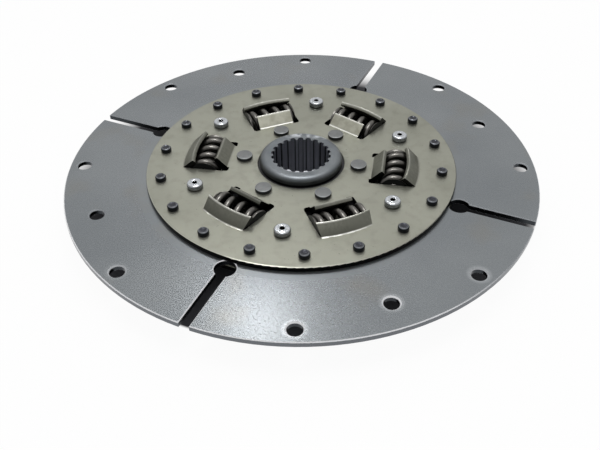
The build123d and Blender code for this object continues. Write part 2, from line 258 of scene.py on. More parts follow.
room = bpy.data.worlds.new("room")
room.use_nodes = True
room_tree = room.node_tree
room_light = room_tree.nodes["Background"]
room_strength = 0.72
room_behind = Vector((-0.25, 0.55, 0.80)).normalized()
room_dark, room_bright = (0.07, 0.07, 0.075, 1), (1.0, 1.0, 1.0, 1)
room_place = room_tree.nodes.new("ShaderNodeTexCoord")
room_side = room_tree.nodes.new("ShaderNodeVectorMath")
room_side.operation = "DOT_PRODUCT"
room_side.inputs[1].default_value = room_behind
room_shade = room_tree.nodes.new("ShaderNodeValToRGB")
room_tree.links.new(room_place.outputs["Generated"], room_side.inputs[0])
room_tree.links.new(room_side.outputs["Value"], room_shade.inputs["Fac"])
room_split = room_tree.nodes.new("ShaderNodeSeparateXYZ")
room_tree.links.new(room_place.outputs["Generated"], room_split.inputs[0])
room_round = room_tree.nodes.new("ShaderNodeMapRange")
room_tree.links.new(room_split.outputs["Z"], room_round.inputs["Value"])
for room_limit, room_value in (("From Min", -0.1), ("From Max", 0.5), ("To Min", 0.10), ("To Max", 0.60)):
    room_round.inputs[room_limit].default_value = room_value
room_both = room_tree.nodes.new("ShaderNodeMix")
room_both.data_type = "RGBA"
room_both.blend_type = "LIGHTEN"
room_both.inputs["Factor"].default_value = 1.0
room_tree.links.new(room_shade.outputs["Color"], room_both.inputs[6])
room_tree.links.new(room_round.outputs["Result"], room_both.inputs[7])
room_tree.links.new(room_both.outputs[2], room_light.inputs["Color"])
room_ramp = room_shade.color_ramp
room_ramp.elements[0].position = 0.15
room_ramp.elements[0].color = room_dark
room_ramp.elements[1].position = 0.75
room_ramp.elements[1].color = room_bright
room_light.inputs["Strength"].default_value = room_strength
bpy.context.scene.world = room


# Outer plate: a flat ring of cold rolled steel, ground on both faces and bolted to the flywheel.
# Bluish grey, with fine grain, light stains, stray scratches and lighter chamfers. The chamfers on the near
# side carry a painted highlight, the walls of slots and holes are painted near black as painted shade, and
# the holes on the near side have lighter rings round them.
def clad(node, finish):
    """Gives a piece of the frame this finish all over."""
    mesh = nodes[node].data
    mesh.materials.clear()
    mesh.materials.append(finish.material)


def hole_distance(finish, count, start, circle_radius):
    """Distance from the nearest of some holes that stand evenly on a circle."""
    turn = tau / count
    angle = finish.sum("ARCTAN2", finish.along(0, 1), finish.along(1, 0))
    angle = finish.sum("SUBTRACT", angle, start - turn / 2)
    angle = finish.sum("SUBTRACT", finish.sum("FLOORED_MODULO", angle, turn), turn / 2)
    radius = finish.radius()
    outwards = finish.sum("MULTIPLY", radius, finish.sum("COSINE", angle))
    outwards = finish.sum("SUBTRACT", outwards, circle_radius)
    sideways = finish.sum("MULTIPLY", radius, finish.sum("SINE", angle))
    squares = [finish.sum("MULTIPLY", part, part) for part in (outwards, sideways)]
    return finish.sum("SQRT", finish.sum("ADD", *squares))


plate_dark, plate_light = (0.236, 0.254, 0.269), (0.283, 0.301, 0.314)
grain_colour, stain_colour, scratch_colour = (0.42, 0.44, 0.44), (0.285, 0.270, 0.235), (0.52, 0.54, 0.55)
cut_out_wall_shade, rim_wall = (0.045, 0.05, 0.055), (0.145, 0.154, 0.167)
chamfer_dull, chamfer_highlight_colour = (0.36, 0.38, 0.40), (0.96, 0.97, 0.99)
bolt_ring_colour = (0.62, 0.64, 0.66)
bolt_count, bolt_start, bolt_circle = 8, radians(22.5), 0.2191
inner_bolt_count, inner_bolt_start, inner_bolt_circle = 4, radians(45.0), 0.2050
bolt_ring_edge = (0.0118, 0.0082)
bolt_chamfer_edge = (0.0085, 0.0100)
plate_rim_edge = (0.2322, 0.2328)
scratch_turns_and_seeds = ((0.35, 11.0), (1.25, 17.0), (2.3, 23.0), (0.9, 31.0))

plate_steel = Finish("plate_steel")
plate_tone = plate_steel.between(plate_steel.cloud(0.11, detail=5.0), 0.36, 0.64)
plate_colour = plate_steel.blend(plate_tone, plate_dark, plate_light)
plate_grain = plate_steel.cloud(0.0016, detail=3.0, seed=3.0)
grain_share = plate_steel.between(plate_grain, 0.3, 0.75, 0.0, 0.20)
plate_colour = plate_steel.blend(grain_share, plate_colour, grain_colour)
plate_stain = plate_steel.between(plate_steel.cloud(0.05, detail=5.0, seed=9.0), 0.55, 0.72, 0.0, 0.38)
plate_colour = plate_steel.blend(plate_stain, plate_colour, stain_colour)
for scratch_turn, scratch_seed in scratch_turns_and_seeds:
    scratch = plate_steel.cloud(0.003, 1.0, stretch=(8, 0.25, 1), turn=scratch_turn, seed=scratch_seed)
    scratch_share = plate_steel.between(scratch, 0.73, 0.79, 0.0, 0.28)
    plate_colour = plate_steel.blend(scratch_share, plate_colour, scratch_colour)

bolt_distance = plate_steel.sum(
    "MINIMUM",
    hole_distance(plate_steel, bolt_count, bolt_start, bolt_circle),
    hole_distance(plate_steel, inner_bolt_count, inner_bolt_start, inner_bolt_circle),
)
# Lighter rings round the holes on the near side.
bolt_near_side = plate_steel.between(plate_steel.along(0.5, -0.86), 0.10, 0.18)
bolt_ring = plate_steel.both(bolt_near_side, plate_steel.between(bolt_distance, *bolt_ring_edge, 0.0, 0.42))
plate_colour = plate_steel.blend(bolt_ring, plate_colour, bolt_ring_colour)

# Painted shade: the walls of the slots and holes are painted near black; the rim wall is a plain darker
# grey.
plate_level = plate_steel.facing_up()
plate_wall = plate_steel.between(plate_level, 0.55, 0.35)
plate_wall_colour = plate_steel.blend(plate_steel.by_radius(*plate_rim_edge), cut_out_wall_shade, rim_wall)
plate_colour = plate_steel.blend(plate_wall, plate_colour, plate_wall_colour)
plate_chamfer = plate_steel.both(
    plate_steel.between(plate_level, 0.98, 0.90), plate_steel.between(plate_level, 0.4, 0.6)
)
# Painted highlight: the chamfers on the near side are painted near white, those of the holes only on the
# near side.
chamfer_highlight_share = plate_steel.sum(
    "MINIMUM",
    plate_steel.between(plate_steel.along(0, 1), -0.06, -0.14),
    plate_steel.either(bolt_near_side, plate_steel.between(bolt_distance, *bolt_chamfer_edge)),
)
chamfer_colour = plate_steel.blend(chamfer_highlight_share, chamfer_dull, chamfer_highlight_colour)
plate_steel.colour(plate_steel.blend(plate_chamfer, plate_colour, chamfer_colour))
plate_metal = plate_steel.between(plate_chamfer, 0.0, 1.0, 1.0, 0.3)
plate_steel.feed(plate_steel.shader.inputs["Metallic"], plate_metal)
plate_gloss = plate_steel.either(
    plate_steel.between(plate_grain, 0.36, 0.64, 0.231, 0.283),
    plate_steel.between(plate_chamfer, 0.0, 1.0, 0.0, 0.55),
)
beside_cover = plate_steel.by_radius(0.164, 0.176, 0.29, 0.0)
plate_steel.gloss(plate_steel.either(plate_gloss, beside_cover))
plate_steel.rough(plate_steel.cloud(0.0020, detail=3.0, seed=37.0), 0.0000015)
clad("outer_plate", plate_steel)


# Cover plates: two equal pressings of sheet steel with a yellowish grey plating, one on each face of the
# outer plate. The lips that hold the springs carry fine lines from the bending tool. Their bends and tips
# carry painted highlights, the inner lips at the back a painted sheen, and the front lips are painted darker
# as painted shade. The near rim carries a painted highlight and the cut walls are painted near black as
# painted shade.
rim_rivet_head_height = 0.0050
cover_face_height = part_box("rim_rivets")[1][2] - rim_rivet_head_height
cover_dark, cover_light = (0.335, 0.338, 0.285), (0.375, 0.378, 0.322)
dirt_colour, near_hub_colour, speck_colour = (0.200, 0.198, 0.160), (0.12, 0.12, 0.10), (0.10, 0.10, 0.085)
lip_dark, lip_light = (0.215, 0.217, 0.182), (0.262, 0.264, 0.224)
sheen_dark, sheen_light = (0.42, 0.412, 0.335), (0.53, 0.527, 0.442)
front_shade_foot, front_shade_top, front_inner_shade = (0.155, 0.157, 0.130), (0.250, 0.252, 0.212), (0.125, 0.127, 0.106)
front_line_colour = (0.15, 0.152, 0.127)
tip_highlight_colour, bend_highlight_colour, cover_rim_highlight_colour = (0.74, 0.74, 0.68), (0.80, 0.80, 0.76), (0.66, 0.66, 0.58)
cut_wall_shade = (0.007, 0.007, 0.007)

plated_cover = Finish("plated_cover")
cover_tone = plated_cover.cloud(0.07, detail=4.0, seed=2.0)
cover_colour = plated_cover.blend(plated_cover.between(cover_tone, 0.36, 0.66), cover_dark, cover_light)
cover_dirt = plated_cover.cloud(0.010, detail=5.0, seed=15.0)
cover_soiled = plated_cover.between(cover_dirt, 0.48, 0.75, 0.0, 0.30)
cover_colour = plated_cover.blend(cover_soiled, cover_colour, dirt_colour)
# Darker in patches round the hub.
near_hub_darkening = plated_cover.between(cover_dirt, 0.35, 0.6)
near_hub_darkening = plated_cover.both(plated_cover.by_radius(0.050, 0.042), near_hub_darkening)
cover_colour = plated_cover.blend(plated_cover.both(near_hub_darkening, 0.5), cover_colour, near_hub_colour)
cover_speck = plated_cover.between(plated_cover.cloud(0.0022, detail=1.0, seed=5.0), 0.73, 0.80, 0.0, 0.6)
cover_colour = plated_cover.blend(cover_speck, cover_colour, speck_colour)

inner_lips = plated_cover.by_radius(0.098, 0.092)
outer_lips = plated_cover.by_radius(0.092, 0.098)
to_back = plated_cover.along(0, 1)
front_lips = plated_cover.between(to_back, -0.06, -0.08)
# Painted sheen: the inner lips at the back are painted light.
lip_painted_sheen = plated_cover.both(plated_cover.between(plated_cover.along(-0.4, 1.0), 0.043, 0.049), inner_lips)
lip_height = plated_cover.sum("SUBTRACT", plated_cover.height(), cover_face_height)
lip_line = plated_cover.cloud(0.0012, detail=2.0, stretch=(2, 2, 40), seed=8.0)
lip_colour = plated_cover.blend(plated_cover.between(lip_line, 0.35, 0.7), lip_dark, lip_light)
# Painted shade: the front lips are painted darker towards their foot, the inner ones darker still, as a
# painted dark reflection.
lip_rise = plated_cover.between(lip_height, 0.0010, 0.0075)
front_shade_colour = plated_cover.blend(lip_rise, front_shade_foot, front_shade_top)
front_shade_colour = plated_cover.blend(inner_lips, front_shade_colour, front_inner_shade)
front_line = plated_cover.between(lip_line, 0.4, 0.75, 0.0, 0.5)
front_shade_colour = plated_cover.blend(front_line, front_shade_colour, front_line_colour)
lip_colour = plated_cover.blend(front_lips, lip_colour, front_shade_colour)
sheen_tone = plated_cover.between(plated_cover.cloud(0.007, detail=3.0, seed=27.0), 0.38, 0.62)
lip_colour = plated_cover.blend(lip_painted_sheen, lip_colour, plated_cover.blend(sheen_tone, sheen_dark, sheen_light))
cover_colour = plated_cover.blend(plated_cover.between(lip_height, 0.0001, 0.0012), cover_colour, lip_colour)

# Painted highlight along the tips of the lips, strongest on the back lips and the front outer lips.
tip_highlight_share = plated_cover.either(lip_painted_sheen, plated_cover.between(to_back, 0.055, 0.062, 0.0, 0.45))
tip_highlight_share = plated_cover.either(plated_cover.both(front_lips, outer_lips), tip_highlight_share)
lip_tip_highlight = plated_cover.both(
    plated_cover.between(lip_height, 0.0088, 0.0096), plated_cover.between(tip_highlight_share, 0.0, 1.0, 0.15, 1.0)
)
cover_colour = plated_cover.blend(lip_tip_highlight, cover_colour, tip_highlight_colour)
# Painted highlight: a light line along the bends of the lips.
lip_bend = plated_cover.both(
    plated_cover.between(lip_height, 0.00005, 0.0002), plated_cover.between(lip_height, 0.0009, 0.0006)
)
bend_highlight_share = plated_cover.between(plated_cover.along(1, 0), -0.01, 0.04, 0.35, 1.0)
bend_highlight_share = plated_cover.both(front_lips, bend_highlight_share)
bend_highlight_share = plated_cover.between(plated_cover.either(bend_highlight_share, lip_painted_sheen), 0.0, 1.0, 0.12, 1.0)
cover_colour = plated_cover.blend(plated_cover.both(lip_bend, bend_highlight_share), cover_colour, bend_highlight_colour)

cover_level = plated_cover.facing_up()
# Painted highlight along the near rim of the cover.
cover_rim_highlight = plated_cover.between(cover_level, 0.995, 0.97)
cover_rim_highlight = plated_cover.both(cover_rim_highlight, plated_cover.by_radius(0.1525, 0.1529))
cover_rim_highlight = plated_cover.both(cover_rim_highlight, plated_cover.between(to_back, -0.02, -0.09, 0.0, 0.7))
cover_colour = plated_cover.blend(cover_rim_highlight, cover_colour, cover_rim_highlight_colour)
# Painted shade: the cut walls of the cover and its lips are painted near black.
cover_wall_shade = plated_cover.both(
    plated_cover.between(cover_level, 0.75, 0.6), plated_cover.between(lip_height, 0.0003, 0.0)
)
cover_wall_shade = plated_cover.either(cover_wall_shade, plated_cover.between(cover_level, 0.45, 0.2))
plated_cover.colour(plated_cover.blend(cover_wall_shade, cover_colour, cut_wall_shade))
plated_cover.gloss(plated_cover.between(cover_tone, 0.35, 0.65, 0.36, 0.46))
plated_cover.rough(plated_cover.cloud(0.0009, detail=2.0, seed=4.0), 0.00003)
for cover in ("upper_cover", "lower_cover"):
    clad(cover, plated_cover)


# Hub: turned from a steel forging, with 22 teeth broached into its bore and a flange between the covers.
# Satin grey outside with fine turning marks, with painted glints on the far edge of the collar and on the
# near teeth. The bore is painted lighter to stand in for light from below, with painted shade on the flanks
# of the teeth, and the side and foot of the collar are painted dark as painted shade.
hub_dark, hub_light, hub_glint_colour = (0.170, 0.186, 0.198), (0.240, 0.256, 0.268), (0.72, 0.75, 0.78)
bore_painted_light_low, bore_painted_light_high, bore_flank_shade_colour = (0.24, 0.25, 0.28), (0.80, 0.83, 0.90), (0.05, 0.052, 0.062)
collar_side_shade_colour, collar_gap_shade_colour = (0.075, 0.080, 0.088), (0.008, 0.008, 0.009)

hub_steel = Finish("hub_steel", roughness=0.43)
hub_level = hub_steel.facing_up()
hub_tone = hub_steel.between(hub_steel.cloud(0.03, detail=4.0, seed=6.0), 0.35, 0.65)
hub_colour = hub_steel.blend(hub_tone, hub_dark, hub_light)
# Painted light: the bore is painted lighter than the outside to stand in for light from below, with painted
# shade on the flanks of the teeth.
bore_painted_colour = hub_steel.blend(hub_steel.cloud(0.002, stretch=(1, 1, 30), seed=12.0), bore_painted_light_low, bore_painted_light_high)
bore_flank_shade = hub_steel.both(hub_steel.by_radius(0.0275, 0.0281), hub_steel.by_radius(0.0294, 0.0288))
bore_painted_colour = hub_steel.blend(bore_flank_shade, bore_painted_colour, bore_flank_shade_colour)
bore_inside = hub_steel.both(hub_steel.by_radius(0.0315, 0.0307), hub_steel.between(hub_level, 0.5, 0.3))
hub_colour = hub_steel.blend(bore_inside, hub_colour, bore_painted_colour)

# Painted glints on the far edge of the collar and on the near teeth.
hub_across = hub_steel.along(-0.30, 0.954)
hub_far_glint = hub_steel.between(hub_steel.cloud(0.008, detail=3.0, seed=22.0), 0.46, 0.62, 0.0, 0.8)
hub_far_glint = hub_steel.both(hub_steel.by_radius(0.0300, 0.0325), hub_far_glint)
hub_far_glint = hub_steel.both(hub_far_glint, hub_steel.between(hub_across, 0.0270, 0.0330))
tooth_near_glint = hub_steel.both(hub_steel.by_radius(0.0302, 0.0294), hub_steel.between(hub_level, 0.6, 0.7))
tooth_near_glint = hub_steel.both(tooth_near_glint, hub_steel.between(hub_across, -0.0250, -0.0262))
hub_colour = hub_steel.blend(hub_steel.either(hub_far_glint, tooth_near_glint), hub_colour, hub_glint_colour)

# Painted shade: the side of the collar is painted dark, and its foot near black.
collar_height = hub_steel.sum("SUBTRACT", hub_steel.height(), cover_face_height)
collar_side_shade = hub_steel.between(collar_height, 0.0076, 0.0040)
collar_side_shade = hub_steel.both(hub_steel.by_radius(0.0380, 0.0398), collar_side_shade)
hub_colour = hub_steel.blend(collar_side_shade, hub_colour, collar_side_shade_colour)
collar_gap_shade = hub_steel.between(collar_height, 0.0020, 0.0008)
collar_gap_shade = hub_steel.both(hub_steel.by_radius(0.0395, 0.0403), collar_gap_shade)
hub_steel.colour(hub_steel.blend(collar_gap_shade, hub_colour, collar_gap_shade_colour))
turning_mark = hub_steel.add("ShaderNodeTexNoise", noise_dimensions="1D")
hub_steel.feed(turning_mark.inputs["W"], hub_steel.sum("ADD", hub_steel.radius(), hub_steel.height()))
turning_mark.inputs["Scale"].default_value = 2600.0
hub_steel.rough(turning_mark.outputs["Fac"], 0.000012)
clad("hub", hub_steel)


# Guide bushes: thin turned collars of black moulded nylon that centre the hub in the covers.
# They hardly show, in the gap round the collar.
bush_dark, bush_light = (0.008, 0.008, 0.009), (0.022, 0.022, 0.024)
bush_nylon = Finish("bush_nylon", metallic=0.0, roughness=0.55)
bush_nylon.colour(bush_nylon.blend(bush_nylon.cloud(0.01, detail=3.0), bush_dark, bush_light))
bush_nylon.rough(bush_nylon.cloud(0.0006, detail=2.0), 0.00004)
for bush in ("upper_guide_bush", "lower_guide_bush"):
    clad(bush, bush_nylon)


# Coil springs: six, each wound from round oil-tempered wire with its two end turns closed and
# ground flat. They lie in the windows and are squeezed when the hub twists.
spring_dark, spring_light, ground_end_shade = (0.148, 0.142, 0.132), (0.190, 0.183, 0.171), (0.020, 0.021, 0.023)
spring_steel = Finish("spring_steel")
spring_tone = spring_steel.cloud(0.006, detail=4.0, seed=1.0)
spring_colour = spring_steel.blend(spring_steel.between(spring_tone, 0.35, 0.68), spring_dark, spring_light)
# Painted shade: faces that stand upright, chiefly the ground ends, are painted near black.
spring_cut_shade = spring_steel.between(spring_steel.facing_up(), 0.06, 0.02)
spring_steel.colour(spring_steel.blend(spring_cut_shade, spring_colour, ground_end_shade))
spring_steel.gloss(spring_steel.between(spring_tone, 0.3, 0.7, 0.32, 0.35))

spring_count = 6
spring_start = radians(15.0)
spring_circle = 0.094
spring_length = 0.050
spring_outside = 0.015
spring_wire = 0.0066
spring_open_turns = 3.0
spring_closed_turns = 1.6
spring_closed_pitch = 0.00675
spring_open_length = 0.0381
spring_path_points = 420
spring_wire_sides = 24


def add_inputs(tree, **sizes):
    """Named number inputs of a tree of nodes, each with its size. Gives its input and output nodes."""
    for name, value in sizes.items():
        plain_name = name.replace("_", " ")
        socket = tree.interface.new_socket(plain_name, in_out="INPUT", socket_type="NodeSocketFloat")
        socket.default_value = value
    tree.interface.new_socket("Geometry", in_out="OUTPUT", socket_type="NodeSocketGeometry")
    return tree.nodes.new("NodeGroupInput").outputs, tree.nodes.new("NodeGroupOutput").inputs


def made_plain(name, source, tree, body, inputs):
    """Runs the tree on a mesh with these inputs, and gives the result as a plain piece on a body."""
    holder = bpy.data.objects.new(name + "_tree", source)
    bpy.context.scene.collection.objects.link(holder)
    modifier = holder.modifiers.new(name, "NODES")
    modifier.node_group = tree
    for socket in tree.interface.items_tree:
        if socket.in_out == "INPUT" and socket.name in inputs:
            modifier[socket.identifier] = inputs[socket.name]
    reader = bpy.context.evaluated_depsgraph_get()
    mesh = bpy.data.meshes.new_from_object(holder.evaluated_get(reader))
    bpy.data.objects.remove(holder)
    mesh.name = name
    piece = bpy.data.objects.new(name, mesh)
    bpy.context.scene.collection.objects.link(piece)
    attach(piece, body)
    return piece


class Wiring:
    """Short ways to add and join nodes of a geometry tree."""

    def __init__(self, name):
        self.tree = bpy.data.node_groups.new(name, "GeometryNodeTree")

    def add(self, kind, domain=None, **inputs):
        """Adds a node, with a value or a link for each of its inputs."""
        node = self.tree.nodes.new(kind)
        if domain:
            node.domain = domain
        for name, value in inputs.items():
            self.feed(node.inputs[name.replace("_", " ")], value)
        return node

    def feed(self, socket, value):
        """Links a value of the tree to a socket, or sets a plain value there."""
        if isinstance(value, bpy.types.NodeSocket):
            self.tree.links.new(value, socket)
        else:
            socket.default_value = value

    def sum(self, operation, *values):
        """A sum of values of the tree, such as ADD or COSINE."""
        node = self.tree.nodes.new("ShaderNodeMath")
        node.operation = operation
        for socket, value in zip(node.inputs, values):
            self.feed(socket, value)
        return node.outputs["Value"]


winding = Wiring("spring_winding")
size, result = add_inputs(
    winding.tree,
    Coil_radius=spring_outside - spring_wire / 2,
    Wire=spring_wire,
    Length=spring_length,
    Open_turns=spring_open_turns,
    Open_end=spring_open_turns / 2,
    Closed_turns=spring_closed_turns,
    Open_length=spring_open_length,
    Closed_pitch=spring_closed_pitch,
    Start_turn=0.0,
    Seat_angle=0.0,
    Seat_radius=spring_circle,
)
line = winding.add("GeometryNodeCurvePrimitiveLine").outputs["Curve"]
line = winding.add("GeometryNodeResampleCurve", Curve=line, Count=spring_path_points).outputs["Curve"]
share = winding.add("GeometryNodeSplineParameter").outputs["Factor"]
half_open = winding.sum("DIVIDE", size["Open turns"], 2.0)
all_turns = winding.sum("MULTIPLY_ADD", size["Closed turns"], 2.0, size["Open turns"])
turns = winding.sum("MULTIPLY", winding.sum("SUBTRACT", share, 0.5), all_turns)
open_part = winding.sum(
    "MAXIMUM", winding.sum("MINIMUM", turns, size["Open end"]), winding.sum("MULTIPLY", half_open, -1.0)
)
open_pitch = winding.sum("DIVIDE", size["Open length"], size["Open turns"])
closed_part = winding.sum("SUBTRACT", turns, open_part)
open_rise = winding.sum("MULTIPLY", open_part, open_pitch)
rise = winding.sum("MULTIPLY_ADD", closed_part, size["Closed pitch"], open_rise)
angle = winding.sum("MULTIPLY", winding.sum("ADD", turns, size["Start turn"]), tau)
wire_place = winding.add(
    "ShaderNodeCombineXYZ",
    X=winding.sum("MULTIPLY", winding.sum("COSINE", angle), size["Coil radius"]),
    Y=winding.sum("MULTIPLY", winding.sum("SINE", angle), size["Coil radius"]),
    Z=rise,
).outputs["Vector"]
wire_path = winding.add("GeometryNodeSetPosition", Geometry=line, Position=wire_place).outputs["Geometry"]
wire_radius = winding.sum("DIVIDE", size["Wire"], 2.0)
wire_round = winding.add(
    "GeometryNodeCurvePrimitiveCircle", Resolution=spring_wire_sides, Radius=wire_radius
).outputs["Curve"]
coil = winding.add(
    "GeometryNodeCurveToMesh", Curve=wire_path, Profile_Curve=wire_round, Fill_Caps=True
).outputs["Mesh"]
block_size = winding.add("ShaderNodeCombineXYZ", X=0.1, Y=0.1, Z=size["Length"]).outputs["Vector"]
block = winding.add("GeometryNodeMeshCube", Size=block_size).outputs["Mesh"]
ground = winding.tree.nodes.new("GeometryNodeMeshBoolean")
ground.operation = "INTERSECT"
winding.feed(ground.inputs["Mesh 2"], coil)
winding.feed(ground.inputs["Mesh 2"], block)
edge_angle = winding.add("GeometryNodeInputMeshEdgeAngle").outputs["Unsigned Angle"]
crease = winding.add("FunctionNodeCompare", A=edge_angle, B=radians(38.0)).outputs["Result"]
smooth = winding.add("GeometryNodeSetShadeSmooth", Geometry=ground.outputs["Mesh"]).outputs["Geometry"]
sharp = winding.add(
    "GeometryNodeSetShadeSmooth", domain="EDGE", Geometry=smooth, Selection=crease, Shade_Smooth=False
).outputs["Geometry"]
seat_turn = winding.add("ShaderNodeCombineXYZ", X=pi / 2, Z=size["Seat angle"]).outputs["Vector"]
seat_place = winding.add(
    "ShaderNodeCombineXYZ",
    X=winding.sum("MULTIPLY", winding.sum("COSINE", size["Seat angle"]), size["Seat radius"]),
    Y=winding.sum("MULTIPLY", winding.sum("SINE", size["Seat angle"]), size["Seat radius"]),
).outputs["Vector"]
seated = winding.add(
    "GeometryNodeTransform", Geometry=sharp, Translation=seat_place, Rotation=seat_turn
).outputs["Geometry"]
whole = winding.add("GeometryNodeRealizeInstances", Geometry=seated).outputs["Geometry"]
finished = winding.add("GeometryNodeSetMaterial", Geometry=whole, Material=spring_steel.material)
winding.feed(result["Geometry"], finished.outputs["Geometry"])

start_turns_and_open_ends = [(0.70, 1.5), (0.75, 1.5), (0.68, 1.5), (0.78, 1.5), (0.51, 1.5), (0.46, 1.1)]
for number, (start_turn, open_end) in enumerate(start_turns_and_open_ends):
    seat_angle = spring_start + tau * number / spring_count
    coil_spring = made_plain(
        f"coil_spring_{number + 1}",
        bpy.data.meshes.new("blank"),
        winding.tree,
        "springs",
        {"Start turn": start_turn, "Seat angle": seat_angle, "Open end": open_end},
    )
    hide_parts(f"spring_{number + 1}")
    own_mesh(coil_spring)


# Rim rivets: eighteen blackened steel rivets that hold covers and outer plate together. The set
# head has a chamfered edge and a shallow dish from the punch.
def arc(radius, height, bend, start, end, steps=6):
    """Points in (radius, height) on an arc round a centre, from one angle in degrees to another."""
    angles = [radians(start + (end - start) * step / steps) for step in range(steps + 1)]
    return [(radius + bend * cos(angle), height + bend * sin(angle)) for angle in angles]


def turned_mesh(name, upper_outline, steps=40, hole_points=0):
    """A body of revolution. Its outline runs outwards from the axis at the top, and is mirrored below.
    The first points of the outline may be marked as a hole."""
    outline = upper_outline + [(radius, -height) for radius, height in reversed(upper_outline)]
    points = [(0, 0, outline[0][1])]
    circle = [(cos(tau * step / steps), sin(tau * step / steps)) for step in range(steps)]
    for radius, height in outline[1:-1]:
        points += [(radius * x, radius * y, height) for x, y in circle]
    points.append((0, 0, outline[-1][1]))
    last = len(points) - 1
    faces = []
    for step in range(steps):
        after = (step + 1) % steps
        faces.append((0, 1 + step, 1 + after))
        for ring in range(1, last - steps, steps):
            faces.append((ring + step, ring + steps + step, ring + steps + after, ring + after))
        faces.append((last, last - steps + after, last - steps + step))
    mesh = bpy.data.meshes.new(name)
    mesh.from_pydata(points, [], faces)
    in_hole = mesh.attributes.new("in_hole", "FLOAT", "POINT")
    for number in range(1 + steps * (hole_points - 1)):
        in_hole.data[number].value = in_hole.data[last - number].value = 1.0
    mesh.shade_smooth()
    mesh.set_sharp_from_angle(angle=radians(30.0))
    return mesh


setting_out = Wiring("set_on_a_circle")
setting_out.tree.interface.new_socket("Geometry", in_out="INPUT", socket_type="NodeSocketGeometry")
setting_out.tree.interface.new_socket("Material", in_out="INPUT", socket_type="NodeSocketMaterial")
size, result = add_inputs(setting_out.tree, Count=1.0, Step_angle=0.0, Start_angle=0.0, Circle_radius=0.1)
place_number = setting_out.add("GeometryNodeInputIndex").outputs["Index"]
place_angle = setting_out.sum("MULTIPLY_ADD", place_number, size["Step angle"], size["Start angle"])
place = setting_out.add(
    "ShaderNodeCombineXYZ",
    X=setting_out.sum("MULTIPLY", setting_out.sum("COSINE", place_angle), size["Circle radius"]),
    Y=setting_out.sum("MULTIPLY", setting_out.sum("SINE", place_angle), size["Circle radius"]),
).outputs["Vector"]
places = setting_out.add("GeometryNodePoints", Count=size["Count"], Position=place).outputs["Points"]
place_turn = setting_out.add("ShaderNodeCombineXYZ", Z=place_angle).outputs["Vector"]
copies = setting_out.add(
    "GeometryNodeInstanceOnPoints", Points=places, Instance=size["Geometry"], Rotation=place_turn
).outputs["Instances"]
whole = setting_out.add("GeometryNodeRealizeInstances", Geometry=copies).outputs["Geometry"]
finished = setting_out.add("GeometryNodeSetMaterial", Geometry=whole, Material=size["Material"])
setting_out.feed(result["Geometry"], finished.outputs["Geometry"])

rivet_dark, rivet_light, dish_shade_colour = (0.075, 0.078, 0.086), (0.120, 0.125, 0.136), (0.060, 0.062, 0.072)
rivet_chamfer_highlight_colour, rivet_side_shade_colour = (0.270, 0.283, 0.305), (0.025, 0.027, 0.032)
black_rivet = Finish("black_rivet", roughness=0.34)
rivet_level = black_rivet.facing_up()
rivet_colour = black_rivet.blend(black_rivet.cloud(0.003, detail=3.0, seed=4.0), rivet_dark, rivet_light)
# Painted highlight: the chamfer ring of the head is painted light.
rivet_chamfer_highlight = black_rivet.between(rivet_level, 0.92, 0.85)
rivet_colour = black_rivet.blend(rivet_chamfer_highlight, rivet_colour, rivet_chamfer_highlight_colour)
rivet_height = black_rivet.sum("SUBTRACT", black_rivet.height(), cover_face_height)
# Painted shade: the sides and the foot of the head are painted near black.
rivet_side_shade = black_rivet.either(
    black_rivet.between(rivet_level, 0.55, 0.35), black_rivet.between(rivet_height, 0.0045, 0.0041)
)
rivet_colour = black_rivet.blend(rivet_side_shade, rivet_colour, rivet_side_shade_colour)
# Painted shade: the dish is painted darker.
rivet_dish_shade = black_rivet.add("ShaderNodeAttribute", attribute_name="in_hole").outputs["Fac"]
black_rivet.colour(black_rivet.blend(rivet_dish_shade, rivet_colour, dish_shade_colour))
black_rivet.rough(black_rivet.cloud(0.0008, detail=2.0, seed=5.0), 0.00003)

rim_rivet_count = 18
rim_rivet_start = radians(15.0)
rim_rivet_circle = 0.1395
rim_rivet_top = cover_face_height + rim_rivet_head_height
rim_rivet_dish = [(0, 0.50), (1.3, 0.48), (2.4, 0.42), (2.65, 0.34), (2.95, 0.06)]
rim_rivet_outline = [(radius / 1000, rim_rivet_top - depth / 1000) for radius, depth in rim_rivet_dish]
rim_rivet_outline += arc(0.00315, rim_rivet_top - 0.0002, 0.0002, 135, 90, 2)
rim_rivet_outline += arc(0.00385, rim_rivet_top - 0.0002, 0.0002, 90, 45, 2)
rim_rivet_outline += arc(0.00495, rim_rivet_top - 0.0014, 0.0003, 45, 0, 3)
rim_rivet_outline += arc(0.00495, cover_face_height + 0.0003, 0.0003, 0, -90, 3)
rim_rivet_outline += [(0.0040, cover_face_height), (0.0040, 0.0010)]
rim_rivets = made_plain(
    "set_rim_rivets",
    turned_mesh("rim_rivet", rim_rivet_outline, hole_points=5),
    setting_out.tree,
    "disc",
    {
        "Material": black_rivet.material,
        "Count": float(rim_rivet_count),
        "Step angle": tau / rim_rivet_count,
        "Start angle": rim_rivet_start,
        "Circle radius": rim_rivet_circle,
    },
)
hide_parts("rim_rivets")


# Inner rivets: six broad low rivets that draw the two covers together beside the hub. Plain steel,
# dull grey from the heat of setting.
inner_dark, inner_light = (0.17, 0.178, 0.182), (0.27, 0.275, 0.272)
inner_edge_highlight_colour, inner_side_shade_colour = (0.50, 0.52, 0.53), (0.048, 0.050, 0.054)
rivet_steel = Finish("rivet_steel", roughness=0.45)
inner_colour = rivet_steel.blend(rivet_steel.cloud(0.005, detail=4.0, seed=7.0), inner_dark, inner_light)
inner_level = rivet_steel.facing_up()
# Painted highlight on the rounded edge of the head.
inner_edge_highlight = rivet_steel.both(
    rivet_steel.between(inner_level, 0.99, 0.93), rivet_steel.between(inner_level, 0.6, 0.8)
)
inner_colour = rivet_steel.blend(rivet_steel.both(inner_edge_highlight, 0.6), inner_colour, inner_edge_highlight_colour)
